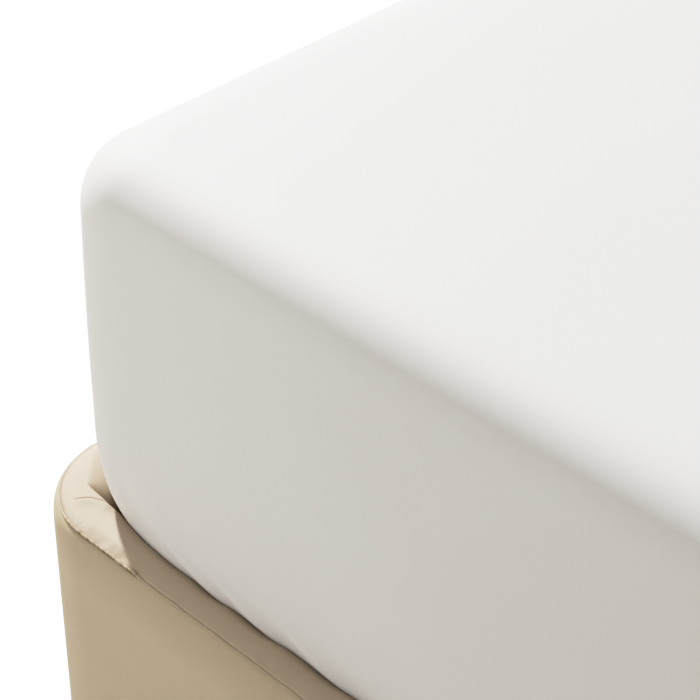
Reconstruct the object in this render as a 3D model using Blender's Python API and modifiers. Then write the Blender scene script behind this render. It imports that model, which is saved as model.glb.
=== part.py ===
"""A fitted sheet stretched over a deep mattress, standing in an upholstered bed base.

Metres, +Z up, +Y towards the head. The origin is on the floor, under the middle of the base.
Every outline is a rounded rectangle round the bed. Its size is given as an outset from the fullest
height of the sheet's side, and its height as a rise over the corded seam on top of the base.
"""

import math
from collections import namedtuple

import bmesh
import bpy

# Driving dimensions
BED_WIDTH = 1.524  # over the sheet, at the fullest height of its sides
BED_LENGTH = 2.032
SEAM_HEIGHT = 0.320  # of the corded seam over the floor
SHEET_RISE = 0.300  # where the top starts to turn down
CROWN_RISE = 0.3085  # at the middle of the top
EDGE_OUTSET = -0.0007  # of the turn from the top to the side, at its foot
EDGE_CORNER_LOSS = 0.6  # how much of the turn's inset the plan radius loses
SHEET_SINK = 0.055  # underside of the sheet below the seam
SHEET_THICKNESS = 0.0015
EDGE_RADIUS = 0.032  # of the turn from the top to the side
CORNER_RADIUS = 0.055  # in plan, at the fullest height
HEM_TURN_IN = 0.120  # how far the hem reaches in under the mattress
FOLD_DEPTH = 0.0025
TOUCH_GAP = 0.0006  # between the mattress and the inside of the sheet

SEAM_OUTSET = 0.0253
SEAM_CORNER_RADIUS = 0.0689
FACE_OUTSET = 0.0308  # outer face of the base
WALL_OUTSET = -0.0002  # inner face of the base
CORD_RADIUS = 0.0011
CORD_LIFT = 0.0002
MITRE_ANGLE = math.radians(44.7)  # just short of 45, which leaves the mitre open by a hair
DECK_THICKNESS = 0.018
DECK_GAP = 0.002  # between the deck board and the base
REST_GAP = 0.0004  # between pieces that rest on one another
BAR_SIZE = 0.045  # ledgers
BAR_SHORTFALL = 0.080  # from the end of the bed to the end of a ledger
BEAM_WIDTH = 0.060
BEAM_DEPTH = 0.120

ARC_STEPS = 7  # facets round each corner of the cloth
RAIL_ARC_STEPS = 4  # facets round each half corner of the base
FILL_SPACING = 0.30  # longest plain stretch of the sheet's edge between two points
LEAST_SPACING = 0.008
LEAST_CORNER = 0.010  # plan radius that an inner outline keeps
FOLD_PARTS = (-0.5, -0.25, 0, 0.25, 0.5)  # where a fold has its points, as parts of its width

Row = namedtuple("Row", "outset rise corner fold")
Fold = namedtuple("Fold", "side along width share")
Point = namedtuple("Point", "outset rise")

# The sheet's section, from the middle of the top down to the hem. corner is the plan radius and
# fold the share of the fold depth that shows at that height.
CROWN_ROWS = [
    Row(-0.330, CROWN_RISE - 0.0005, 0.030, 0.0),
    Row(-0.110, SHEET_RISE + 0.0065, 0.030, 0.0),
]
SIDE_ROWS = [
    Row(0.0000, 0.100, CORNER_RADIUS, 0.0),
    Row(-0.0010, 0.042, 0.064, 0.4),
    Row(-0.0028, 0.014, 0.075, 1.0),
    Row(-0.0042, -0.0066, 0.083, 0.7),
    Row(-0.0075, -0.030, 0.088, 0.5),
    Row(-0.0150, 0.008 - SHEET_SINK, 0.088, 0.2),
    Row(-0.0300, -SHEET_SINK, 0.080, 0.0),
    Row(-0.0300 - HEM_TURN_IN, -SHEET_SINK, 0.050, 0.0),
]
EDGE_ANGLES = (5, 33, 62, 90)  # of the turn, in degrees from the top

# Soft folds in the lower side. along runs from the corner that the side starts at, and the sides
# go foot, right, head, left.
FOLDS = [
    Fold(0, 0.120, 0.044, 0.8),
    Fold(0, 0.164, 0.048, 1.0),
    Fold(0, 0.216, 0.056, 1.0),
    Fold(0, 0.268, 0.050, 0.7),
    Fold(0, 1.300, 0.060, 0.8),
    Fold(0, 1.390, 0.050, 0.9),
    Fold(1, 0.126, 0.055, 0.9),
    Fold(1, 0.205, 0.060, 0.6),
    Fold(1, 1.880, 0.055, 0.8),
    Fold(2, 0.130, 0.060, 0.8),
    Fold(2, 1.350, 0.065, 0.7),
    Fold(3, 0.140, 0.055, 0.7),
    Fold(3, 1.830, 0.060, 0.9),
    Fold(3, 1.900, 0.050, 0.8),
]

# The base's two sections, from the outside inwards and back. They meet on a line that falls from
# the seam to the inner face.
BAND_TOP = [
    Point(SEAM_OUTSET - 0.0008, -0.0004),
    Point(0.0225, 0.0010),
    Point(0.0165, 0.0028),
    Point(0.0105, 0.0031),
    Point(0.0052, 0.0018),
    Point(0.0016, -0.0018),
    Point(0.0001, -0.0075),
    Point(WALL_OUTSET, -0.0140),
]
BAND_FOOT = [Point(WALL_OUTSET, -0.0217), Point(SEAM_OUTSET - 0.0008, -0.0010)]
PANEL_LIP = [
    Point(FACE_OUTSET, -0.0120),
    Point(SEAM_OUTSET + 0.0050, -0.0072),
    Point(SEAM_OUTSET + 0.0036, -0.0038),
    Point(SEAM_OUTSET + 0.0014, -0.0019),
    Point(SEAM_OUTSET - 0.0006, -0.0018),
    Point(WALL_OUTSET, -0.0222),
]
PANEL_FOOT = [
    Point(WALL_OUTSET, -SEAM_HEIGHT),
    Point(FACE_OUTSET - 0.0065, -SEAM_HEIGHT),
    Point(FACE_OUTSET - 0.0020, 0.0022 - SEAM_HEIGHT),
    Point(FACE_OUTSET, 0.008 - SEAM_HEIGHT),
]

SIDES = ("foot", "right", "head", "left")
# For each side, the way it runs and the way it faces, so that the four go round anticlockwise.
RUNS = {
    "foot": ((1, 0), (0, -1)),
    "right": ((0, 1), (1, 0)),
    "head": ((-1, 0), (0, 1)),
    "left": ((0, -1), (-1, 0)),
}

COLOURS = {
    "sheet_cloth": ((0.86, 0.86, 0.85, 1), 0.75),
    "ticking": ((0.80, 0.79, 0.76, 1), 0.85),
    "base_cloth": ((0.50, 0.40, 0.29, 1), 0.80),
    "seam_thread": ((0.60, 0.50, 0.38, 1), 0.80),
    "board": ((0.55, 0.42, 0.28, 1), 0.65),
}


def clear_scene():
    for obj in list(bpy.data.objects):
        bpy.data.objects.remove(obj, do_unlink=True)


def new_material(name):
    colour, roughness = COLOURS[name]
    material = bpy.data.materials.new(name)
    material.use_nodes = True
    shader = material.node_tree.nodes["Principled BSDF"]
    shader.inputs["Base Color"].default_value = colour
    shader.inputs["Roughness"].default_value = roughness
    shader.inputs["Metallic"].default_value = 0.0
    return material


def add_object(name, mesh, collection, material):
    obj = bpy.data.objects.new(name, mesh)
    mesh.materials.append(material)
    collection.objects.link(obj)
    return obj


def half_sizes(side):
    """Half the run of a side, and how far its face is from the middle of the bed."""
    if side in ("foot", "head"):
        return BED_WIDTH / 2, BED_LENGTH / 2
    return BED_LENGTH / 2, BED_WIDTH / 2


def in_plan(side, along, out):
    """World x and y, from a distance along a side and one out from the middle of the bed."""
    (run_x, run_y), (face_x, face_y) = RUNS[side]
    return run_x * along + face_x * out, run_y * along + face_y * out


def fold_bulge(side_number, distance):
    """Share of the fold depth at a distance from the corner that the side starts at."""
    bulge = 0.0
    for fold in FOLDS:
        offset = abs(distance - fold.along) / (fold.width / 2)
        if fold.side == side_number and offset < 1:
            bulge += fold.share * 0.5 * (1 + math.cos(math.pi * offset))
    return bulge


def stops_along(side_number, folded):
    """Places of a side's points between the ends of its straight run, from the middle of the side."""
    half, _ = half_sizes(SIDES[side_number])
    reach = half - max(row.corner for row in SIDE_ROWS)
    stops = {-reach, reach}
    if folded:
        for fold in FOLDS:
            if fold.side == side_number:
                stops |= {fold.along - half + fold.width * part for part in FOLD_PARTS}
    ordered = sorted(stops)
    filled = [ordered[0]]
    for stop in ordered[1:]:
        gap = stop - filled[-1]
        if gap < LEAST_SPACING:
            continue
        pieces = math.ceil(gap / FILL_SPACING)
        filled += [filled[-1] + gap * (piece + 1) / pieces for piece in range(pieces)]
    return filled[1:-1]


def cloth_ring(row, folded=True):
    """One outline of the cloth, anticlockwise from above, at a row of its section."""
    ring = []
    for number, side in enumerate(SIDES):
        half, out = half_sizes(side)
        face = out + row.outset
        limit = half + row.outset - row.corner
        stops = stops_along(number, folded)
        spread = min(1.0, (limit - LEAST_SPACING) / max(map(abs, stops)))
        depths = [FOLD_DEPTH * row.fold * fold_bulge(number, stop + half) for stop in stops]
        run = [(stop * spread, depth) for stop, depth in zip(stops, depths)]
        for along, depth in ((-limit, 0.0), *run, (limit, 0.0)):
            ring.append((*in_plan(side, along, face + depth), SEAM_HEIGHT + row.rise))
        for step in range(1, ARC_STEPS):
            angle = math.pi / 2 * step / ARC_STEPS
            arc_along = limit + row.corner * math.sin(angle)
            arc_out = face - row.corner * (1 - math.cos(angle))
            ring.append((*in_plan(side, arc_along, arc_out), SEAM_HEIGHT + row.rise))
    return ring


def section_rows():
    """The sheet's whole section, with the turn from top to side as an arc."""
    turn = []
    for degrees in EDGE_ANGLES:
        angle = math.radians(degrees)
        inset = EDGE_RADIUS * (1 - math.sin(angle))
        rise = SHEET_RISE - EDGE_RADIUS * (1 - math.cos(angle))
        corner = CORNER_RADIUS - EDGE_CORNER_LOSS * inset
        turn.append(Row(EDGE_OUTSET - inset, rise, corner, 0.0))
    return CROWN_ROWS + turn + SIDE_ROWS


def shrunk(rows, distance):
    """The same section, moved square to itself towards the inside of the bed."""
    moved = []
    for index, row in enumerate(rows):
        before, after = rows[max(index - 1, 0)], rows[min(index + 1, len(rows) - 1)]
        run, drop = after.outset - before.outset, before.rise - after.rise
        length = math.hypot(run, drop)
        inwards = distance * drop / length
        rise = row.rise - distance * run / length
        corner = max(row.corner - inwards, LEAST_CORNER)
        moved.append(Row(row.outset - inwards, rise, corner, 0.0))
    return moved


def loft(name, rings, ends):
    """A mesh through closed rings of equal length. ends closes each end: a height for a fan to a
    middle point, True for a flat face, or None for an open end."""
    work = bmesh.new()
    loops = [[work.verts.new(point) for point in ring] for ring in rings]
    for upper, lower in zip(loops, loops[1:]):
        for index in range(len(upper)):
            after = (index + 1) % len(upper)
            work.faces.new((upper[index], lower[index], lower[after], upper[after]))
    for loop, end in ((loops[0], ends[0]), (loops[-1][::-1], ends[1])):
        if end is True:
            work.faces.new(loop)
        elif end is not None:
            middle = work.verts.new((0, 0, SEAM_HEIGHT + end))
            for index in range(len(loop)):
                work.faces.new((loop[index], loop[(index + 1) % len(loop)], middle))
    mesh = bpy.data.meshes.new(name)
    work.to_mesh(mesh)
    work.free()
    return mesh


def shade_round(mesh, degrees=40):
    mesh.shade_smooth()
    mesh.set_sharp_from_angle(angle=math.radians(degrees))


def make_sheet(collection):
    rings = [cloth_ring(row) for row in section_rows()]
    mesh = loft("fitted_sheet", rings, (CROWN_RISE, None))
    shade_round(mesh)
    sheet = add_object("fitted_sheet", mesh, collection, new_material("sheet_cloth"))
    wall = sheet.modifiers.new("Cloth thickness", "SOLIDIFY")
    wall.thickness = SHEET_THICKNESS
    wall.offset = -1
    wall.use_rim = True


def make_mattress(collection):
    inside = SHEET_THICKNESS + TOUCH_GAP
    rows = shrunk(section_rows(), inside)
    rings = [cloth_ring(row, folded=False) for row in rows]
    mesh = loft("mattress", rings, (CROWN_RISE - inside, rows[-1].rise))
    shade_round(mesh)
    add_object("mattress", mesh, collection, new_material("ticking"))


def rail_stations(side):
    """Seam points and outward directions along one side of the base, from mitre to mitre."""
    half, out = half_sizes(side)
    corner_along = half + SEAM_OUTSET - SEAM_CORNER_RADIUS
    corner_out = out + SEAM_OUTSET - SEAM_CORNER_RADIUS
    turns = [MITRE_ANGLE * step / RAIL_ARC_STEPS for step in range(RAIL_ARC_STEPS + 1)]
    stations = [(-corner_along, corner_out, -angle) for angle in reversed(turns)]
    return stations + [(corner_along, corner_out, angle) for angle in turns]


def rail_mesh(name, side, section):
    """Sweeps a closed section, given as outsets and rises, along one side of the base."""
    rings = []
    for along, out, angle in rail_stations(side):
        ring = []
        for point in section:
            radius = SEAM_CORNER_RADIUS + point.outset - SEAM_OUTSET
            x, y = in_plan(side, along + radius * math.sin(angle), out + radius * math.cos(angle))
            ring.append((x, y, SEAM_HEIGHT + point.rise))
        rings.append(ring)
    mesh = loft(name, rings, (True, True))
    shade_round(mesh, 30)
    return mesh


def make_base(collection):
    cloth = new_material("base_cloth")
    for side in SIDES:
        band = "base_band_" + side
        add_object(band, rail_mesh(band, side, BAND_TOP + BAND_FOOT), collection, cloth)
        panel = "base_panel_" + side
        add_object(panel, rail_mesh(panel, side, PANEL_LIP + PANEL_FOOT), collection, cloth)


def make_seam_cord(collection):
    """One closed cord in the seam between the bands and the panels."""
    curve = bpy.data.curves.new("seam_cord", "CURVE")
    curve.dimensions = "3D"
    curve.bevel_depth = CORD_RADIUS
    curve.bevel_resolution = 1
    points = []
    for side in SIDES:
        for along, out, angle in rail_stations(side):
            x, y = in_plan(
                side,
                along + SEAM_CORNER_RADIUS * math.sin(angle),
                out + SEAM_CORNER_RADIUS * math.cos(angle),
            )
            points.append((x, y, SEAM_HEIGHT + CORD_LIFT, 1))
    spline = curve.splines.new("POLY")
    spline.points.add(len(points) - 1)
    for point, place in zip(spline.points, points):
        point.co = place
    spline.use_cyclic_u = True
    cord = bpy.data.objects.new("seam_cord", curve)
    curve.materials.append(new_material("seam_thread"))
    collection.objects.link(cord)


def make_box(name, low, high, collection, material):
    work = bmesh.new()
    bmesh.ops.create_cube(work, size=1)
    for vert in work.verts:
        for axis in range(3):
            vert.co[axis] = low[axis] if vert.co[axis] < 0 else high[axis]
    mesh = bpy.data.meshes.new(name)
    work.to_mesh(mesh)
    work.free()
    add_object(name, mesh, collection, material)


def make_deck(collection):
    """The board that carries the mattress, with the bars and the beam that carry the board."""
    board = new_material("board")
    top = -SHEET_SINK - REST_GAP
    outset = WALL_OUTSET - DECK_GAP
    corner = SEAM_CORNER_RADIUS + outset - SEAM_OUTSET
    rows = [Row(outset, top, corner, 0.0), Row(outset, top - DECK_THICKNESS, corner, 0.0)]
    mesh = loft("deck_board", [cloth_ring(row, folded=False) for row in rows], (True, True))
    add_object("deck_board", mesh, collection, board)

    bar_top = SEAM_HEIGHT + top - DECK_THICKNESS - REST_GAP
    bar_reach = BED_LENGTH / 2 - BAR_SHORTFALL
    outer = BED_WIDTH / 2 + WALL_OUTSET - REST_GAP
    for name, low_x in (("ledger_left", -outer), ("ledger_right", outer - BAR_SIZE)):
        low = (low_x, -bar_reach, bar_top - BAR_SIZE)
        high = (low_x + BAR_SIZE, bar_reach, bar_top)
        make_box(name, low, high, collection, board)
    beam_reach = BED_LENGTH / 2 + WALL_OUTSET - REST_GAP
    low = (-BEAM_WIDTH / 2, -beam_reach, bar_top - BEAM_DEPTH)
    high = (BEAM_WIDTH / 2, beam_reach, bar_top)
    make_box("centre_beam", low, high, collection, board)


def main():
    clear_scene()
    collection = bpy.data.collections.new("fitted_sheet_on_bed")
    bpy.context.scene.collection.children.link(collection)
    make_sheet(collection)
    make_mattress(collection)
    make_base(collection)
    make_seam_cord(collection)
    make_deck(collection)


main()
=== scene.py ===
# The looks of a fitted sheet on a mattress in an upholstered bed base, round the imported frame.
# Metres, +Z up, the head of the bed towards +Y. "Outset" is out from the fullest height of the
# sheet's side, "rise" is up from the corded seam on top of the base.
import math

import bpy
import numpy as np
from mathutils import Matrix, Vector


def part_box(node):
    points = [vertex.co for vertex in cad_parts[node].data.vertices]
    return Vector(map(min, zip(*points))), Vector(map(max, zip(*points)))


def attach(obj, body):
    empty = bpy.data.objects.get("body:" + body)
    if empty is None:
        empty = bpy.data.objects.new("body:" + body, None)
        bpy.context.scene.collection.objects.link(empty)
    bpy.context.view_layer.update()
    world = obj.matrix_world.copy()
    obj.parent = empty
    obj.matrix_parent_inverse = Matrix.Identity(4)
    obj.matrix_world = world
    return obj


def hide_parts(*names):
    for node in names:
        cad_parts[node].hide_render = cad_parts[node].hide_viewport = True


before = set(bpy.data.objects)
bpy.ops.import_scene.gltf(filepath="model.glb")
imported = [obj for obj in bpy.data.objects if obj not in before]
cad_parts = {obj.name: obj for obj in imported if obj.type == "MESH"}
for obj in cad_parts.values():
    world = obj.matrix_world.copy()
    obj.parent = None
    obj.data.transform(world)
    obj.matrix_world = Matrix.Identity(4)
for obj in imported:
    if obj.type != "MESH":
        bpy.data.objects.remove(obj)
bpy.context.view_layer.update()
bpy.ops.object.select_all(action="DESELECT")
print("frame loaded")

bed = {
    "halfWidth": 0.762,
    "halfLength": 1.016,
    "seamHeight": 0.320,
    "seamOutset": 0.0253,
    "seamRadius": 0.0689,  # of the seam's corners in plan
}
# Each side of the bed: the way it runs, the way it faces, half its run, and how far out it is.
bedSides = [
    ("foot", (1, 0), (0, -1), bed["halfWidth"], bed["halfLength"]),
    ("right", (0, 1), (1, 0), bed["halfLength"], bed["halfWidth"]),
    ("head", (-1, 0), (0, 1), bed["halfWidth"], bed["halfLength"]),
    ("left", (0, -1), (-1, 0), bed["halfLength"], bed["halfWidth"]),
]


def softStep(value, low, high):
    share = np.clip((value - low) / (high - low), 0, 1)
    return share * share * (3 - 2 * share)


def hump(value, width):
    return np.exp(-((value / width) ** 2))


def ripple(travel, length, start=0):
    return np.sin(travel * 2 * math.pi / length + start)


def runAlong(points):  # how far along the line through them each point is
    steps = np.linalg.norm(np.diff(points, axis=0), axis=1)
    return np.concatenate([[0], np.cumsum(steps)])


def softCurve(keys, places):  # smooth curve through rows of (place, values...)
    keys = np.array(keys, float)
    at, values = keys[:, 0], keys[:, 1:]
    slopes = np.gradient(values, at, axis=0)
    index = np.clip(np.searchsorted(at, places) - 1, 0, len(at) - 2)
    span = (at[index + 1] - at[index])[:, None]
    share = ((places - at[index])[:, None]) / span
    square, cube = share**2, share**3
    start = (2 * cube - 3 * square + 1) * values[index]
    stop = (3 * square - 2 * cube) * values[index + 1]
    leave = (cube - 2 * square + share) * span * slopes[index]
    arrive = (cube - square) * span * slopes[index + 1]
    return start + leave + stop + arrive


def growingSteps(length, first, growth, fineRun, fineMost, most):
    # Places from 0 to length: first apart at 0, up to fineMost apart over fineRun, then up to most.
    places, step = [0.0], first
    while places[-1] < length:
        places.append(places[-1] + step)
        step = min(step * growth, fineMost if places[-1] < fineRun else most)
    return np.array(places) * (length / places[-1])


def setInputs(node, values):
    for label, value in values.items():
        node.inputs[label].default_value = value


def addObject(name, data):
    added = bpy.data.objects.new(name, data)
    bpy.context.scene.collection.objects.link(added)
    return added


def newPiece(name, points, faces, material, uv):
    mesh = bpy.data.meshes.new(name)
    mesh.from_pydata(points.tolist(), [], faces)
    layer = mesh.uv_layers.new(name="cloth")
    corners = np.empty(len(mesh.loops), int)
    mesh.loops.foreach_get("vertex_index", corners)
    layer.data.foreach_set("uv", uv[corners].astype(np.float32).ravel())
    mesh.materials.append(material)
    mesh.shade_smooth()
    return addObject(name, mesh)


def markPaintedShade(piece, paintedShade):  # 1 where shade is painted into the colour of the cloth or thread
    mask = piece.data.attributes.new("paintedShade", "FLOAT", "POINT")
    mask.data.foreach_set("value", paintedShade.astype(np.float32).ravel())


def gridFaces(rows, columns, closedRows=False, closedColumns=False):
    faces = []
    for row in range(rows if closedRows else rows - 1):
        for column in range(columns if closedColumns else columns - 1):
            here, below = row * columns, (row + 1) % rows * columns
            beside = (column + 1) % columns
            faces.append((here + column, below + column, below + beside, here + beside))
    return faces


# Camera, light and floor.

photoView = {
    "place": (-0.0059, -1.5842, 1.1799),
    "turn": 40.45,  # degrees left of the bed's length
    "down": 37.74,
    "lean": 2.829,
    "lens": 85.58,
    "sensor": 36.0,
}


def makeCamera():
    data = bpy.data.cameras.new("photoCamera")
    data.lens = photoView["lens"]
    data.sensor_width = photoView["sensor"]
    data.clip_start = 0.05
    turn = Matrix.Rotation(math.radians(photoView["turn"]), 4, "Z")
    tilt = Matrix.Rotation(math.radians(90 - photoView["down"]), 4, "X")
    lean = Matrix.Rotation(math.radians(photoView["lean"]), 4, "Z")
    camera = addObject("photoCamera", data)
    camera.matrix_world = Matrix.Translation(photoView["place"]) @ turn @ tilt @ lean
    bpy.context.scene.camera = camera


studio = {
    "keyTravel": (0.924, -0.382),  # the way the key light goes over the floor
    "keyHeight": 41.0,
    "keyAway": 7.5,
    "keyTarget": (-0.5, -0.8, 0.4),
    "keySize": 0.375,
    "keyPower": 1064.0,
    "keyColour": (1.0, 1.0, 1.0),
    "skyColour": (1.0, 0.965, 0.91),
    "skyStrength": 0.281,
    "paper": 3.6,  # what the camera sees past the bed
    "floorColour": (0.46, 0.44, 0.40, 1),
    "floorSize": 30.0,
    "floorDrop": 0.0005,  # below the bed
    "floorRoughness": 0.9,
}
# The soft lights in front: place, size, power.
studioFills = [
    ("nearFill", (-2.1, -2.6, 0.80), 1.2, 24.5),
    ("frontFill", (1.2, -4.5, 1.6), 3.0, 3.0),
]
fillColour = (1.0, 0.945, 0.87)
fillTarget = (-0.4, -1.0, 0.4)
# How the light of the scene turns into the picture: the highlights roll off, as in the photograph.
toneCurve = [
    (0.00, 0.000),
    (0.40, 0.400),
    (0.60, 0.570),
    (0.90, 0.725),
    (1.30, 0.845),
    (1.80, 0.920),
    (2.40, 0.970),
    (3.20, 1.000),
]


def makeLight(name, shape, place, target, size, power, colour):
    data = bpy.data.lights.new(name, "AREA")
    data.shape = shape
    data.energy = power
    data.size = size
    data.color = colour
    lamp = addObject(name, data)
    facing = (target - place).to_track_quat("-Z", "Y")
    lamp.matrix_world = Matrix.Translation(place) @ facing.to_matrix().to_4x4()
    lamp.visible_camera = False


def makeLights():
    tilt = math.radians(studio["keyHeight"])
    across, along = studio["keyTravel"]
    back = Vector((-across * math.cos(tilt), -along * math.cos(tilt), math.sin(tilt)))
    target = Vector(studio["keyTarget"])
    place = target + back * studio["keyAway"]
    size, power = studio["keySize"], studio["keyPower"]
    makeLight("keyLight", "DISK", place, target, size, power, studio["keyColour"])
    for name, place, size, power in studioFills:
        makeLight(name, "SQUARE", Vector(place), Vector(fillTarget), size, power, fillColour)


def paperToCamera(tree, kind, lit, output):  # white paper to the camera, the lit shader otherwise
    paper = tree.nodes.new(kind)
    setInputs(paper, {"Color": (1, 1, 1, 1), "Strength": studio["paper"]})
    rays = tree.nodes.new("ShaderNodeLightPath")
    mix = tree.nodes.new("ShaderNodeMixShader")
    tree.links.new(rays.outputs["Is Camera Ray"], mix.inputs["Fac"])
    tree.links.new(lit, mix.inputs[1])
    tree.links.new(paper.outputs[0], mix.inputs[2])
    tree.links.new(mix.outputs["Shader"], output.inputs["Surface"])


def makeSky():
    world = bpy.data.worlds.new("studioSky")
    world.use_nodes = True
    tree = world.node_tree
    glow, output = tree.nodes["Background"], tree.nodes["World Output"]
    setInputs(glow, {"Color": (*studio["skyColour"], 1), "Strength": studio["skyStrength"]})
    paperToCamera(tree, "ShaderNodeBackground", glow.outputs["Background"], output)
    bpy.context.scene.world = world


def makeFloor():
    place = (0, 0, -studio["floorDrop"])
    bpy.ops.mesh.primitive_plane_add(size=studio["floorSize"], location=place)
    floor = bpy.context.object
    floor.name = "studioFloor"
    bpy.ops.object.transform_apply(location=True)
    floor.select_set(False)
    material = bpy.data.materials.new("paleFloor")
    material.use_nodes = True
    tree = material.node_tree
    shader, output = tree.nodes["Principled BSDF"], tree.nodes["Material Output"]
    setInputs(shader, {"Base Color": studio["floorColour"], "Roughness": studio["floorRoughness"]})
    paperToCamera(tree, "ShaderNodeEmission", shader.outputs["BSDF"], output)
    floor.data.materials.append(material)


def setTone():
    view = bpy.context.scene.view_settings
    view.view_transform = "Standard"
    view.use_curve_mapping = True
    white = toneCurve[-1][0]
    mapping = view.curve_mapping
    mapping.white_level = (white, white, white)
    curve = mapping.curves[3]  # of all colours together
    for light, shown in toneCurve[1:-1]:
        curve.points.new(light / white, shown)
    for point in curve.points:
        point.handle_type = "AUTO_CLAMPED"
    mapping.update()


setTone()
makeCamera()
makeLights()
makeSky()
makeFloor()
print("studio made")


# Effects that several cloths share.


def newGroup(name, inputs, outputs):  # takes a place and numbers, and gives numbers
    group = bpy.data.node_groups.new(name, "ShaderNodeTree")
    group.interface.new_socket("Vector", in_out="INPUT", socket_type="NodeSocketVector")
    for way, labels in (("INPUT", inputs), ("OUTPUT", outputs)):
        for label in labels:
            group.interface.new_socket(label, in_out=way, socket_type="NodeSocketFloat")
    return group, group.nodes.new("NodeGroupInput"), group.nodes.new("NodeGroupOutput")


def addMath(tree, operation, first, second):
    node = tree.nodes.new("ShaderNodeMath")
    node.operation = operation
    for socket, value in zip(node.inputs, (first, second)):
        if isinstance(value, (int, float)):
            socket.default_value = value
        else:
            tree.links.new(value, socket)
    return node.outputs["Value"]


def makeWeaveGroup():  # over-and-under threads; Pitch is threads to the metre
    group, start, stop = newGroup("threadWeave", ("Pitch", "Slub"), ("Height",))
    links = group.links
    wobble = group.nodes.new("ShaderNodeTexNoise")
    setInputs(wobble, {"Scale": 90})
    links.new(start.outputs["Vector"], wobble.inputs["Vector"])
    split = group.nodes.new("ShaderNodeSeparateXYZ")
    links.new(start.outputs["Vector"], split.inputs["Vector"])
    shift = addMath(group, "MULTIPLY", wobble.outputs["Fac"], start.outputs["Slub"])
    waves = []
    for axis in ("X", "Y"):
        turns = addMath(group, "MULTIPLY", split.outputs[axis], start.outputs["Pitch"])
        turns = addMath(group, "MULTIPLY", addMath(group, "ADD", turns, shift), math.pi)
        waves.append(addMath(group, "SINE", turns, 0))
    height = addMath(group, "MULTIPLY", waves[0], waves[1])
    links.new(height, stop.inputs["Height"])
    return group


def makeNapGroup():  # brushed patches of a soft face, large and small
    group, start, stop = newGroup("brushedNap", ("Patch", "Fibre"), ("Patches", "Fibres"))
    for scale, label, detail in (("Patch", "Patches", 3), ("Fibre", "Fibres", 2)):
        noise = group.nodes.new("ShaderNodeTexNoise")
        setInputs(noise, {"Detail": detail})
        group.links.new(start.outputs["Vector"], noise.inputs["Vector"])
        group.links.new(start.outputs[scale], noise.inputs["Scale"])
        group.links.new(noise.outputs["Fac"], stop.inputs[label])
    return group


weaveGroup = makeWeaveGroup()
napGroup = makeNapGroup()


def startMaterial(name, roughness, sheen=0.0, gloss=0.5):
    material = bpy.data.materials.new(name)
    material.use_nodes = True
    shader = material.node_tree.nodes["Principled BSDF"]
    setInputs(shader, {"Roughness": roughness, "Sheen Weight": sheen, "Specular IOR Level": gloss})
    return material, material.node_tree, shader


def placeGroup(tree, group, coordinates, **values):
    node = tree.nodes.new("ShaderNodeGroup")
    node.node_tree = group
    source = tree.nodes.new("ShaderNodeTexCoord")
    tree.links.new(source.outputs[coordinates], node.inputs["Vector"])
    setInputs(node, values)
    return node


rampPlaces = (0.3, 0.7)  # between which a colour goes from its shade to its light


def colourBetween(tree, factor, shade, light, shader):
    ramp = tree.nodes.new("ShaderNodeValToRGB")
    for end, place, colour in zip(ramp.color_ramp.elements, rampPlaces, (shade, light)):
        end.position = place
        end.color = (*colour, 1)
    tree.links.new(factor, ramp.inputs["Fac"])
    tree.links.new(ramp.outputs["Color"], shader.inputs["Base Color"])
    return ramp.outputs["Color"]


def paintShade(tree, colour, share, shader):  # painted shade: multiplies the colour by share where the piece's painted-shade attribute is 1
    paintedShade = tree.nodes.new("ShaderNodeAttribute")
    paintedShade.attribute_name = "paintedShade"
    mix = tree.nodes.new("ShaderNodeMix")
    mix.data_type = "RGBA"
    mix.blend_type = "MULTIPLY"
    first, second, mixed = mix.inputs[6], mix.inputs[7], mix.outputs[2]  # the colour sockets
    second.default_value = (*share, 1)
    tree.links.new(paintedShade.outputs["Fac"], mix.inputs["Factor"])
    tree.links.new(colour, first)
    tree.links.new(mixed, shader.inputs["Base Color"])


def bumpFrom(tree, height, shader, distance, strength):
    bump = tree.nodes.new("ShaderNodeBump")
    setInputs(bump, {"Distance": distance, "Strength": strength})
    tree.links.new(height, bump.inputs["Height"])
    tree.links.new(bump.outputs["Normal"], shader.inputs["Normal"])


sheetFinish = {
    "shade": (0.815, 0.805, 0.795),
    "light": (0.835, 0.828, 0.820),
    "roughness": 0.62,
    "sheen": 0.08,
    "threadsPerMetre": 1600,
}


def makeSheetMaterial():
    finish = sheetFinish
    material, tree, shader = startMaterial("whiteSheetCloth", finish["roughness"], finish["sheen"])
    nap = placeGroup(tree, napGroup, "Object", Patch=5.0, Fibre=900.0)
    colourBetween(tree, nap.outputs["Patches"], finish["shade"], finish["light"], shader)
    weave = placeGroup(tree, weaveGroup, "UV", Pitch=finish["threadsPerMetre"], Slub=0.25)
    bumpFrom(tree, weave.outputs["Height"], shader, distance=0.00006, strength=0.25)
    return material


# The same cloth on the panels and on the padded top; the top's copy is coloured a little darker and
# less yellow than the panels', as painted light for the key light and its sheen on the top.
baseLook = {"roughness": 0.66, "sheen": 0.06, "gloss": 0.42}
panelFinish = {
    "shade": (0.504, 0.413, 0.283),
    "light": (0.543, 0.448, 0.312),
    # painted shade under the seam: the panel's colour is multiplied by this
    "paintedShade": (0.89, 0.87, 0.83),
    "paintedShadeRun": (0.010, 0.055),  # painted shade under the seam fades out over these, down from the seam
}
topColourAndPaintedLight = {
    "shade": (0.480, 0.381, 0.276),
    "light": (0.506, 0.406, 0.299),
    # painted shade: the top's colour is multiplied by this beside the sheet, beside the cord and in
    # the corner folds
    "paintedShade": (0.64, 0.62, 0.56),
    "paintedShadeRun": (0.0025, 0.0105),  # painted shade beside the sheet fades out over these, out from the sheet
}


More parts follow.
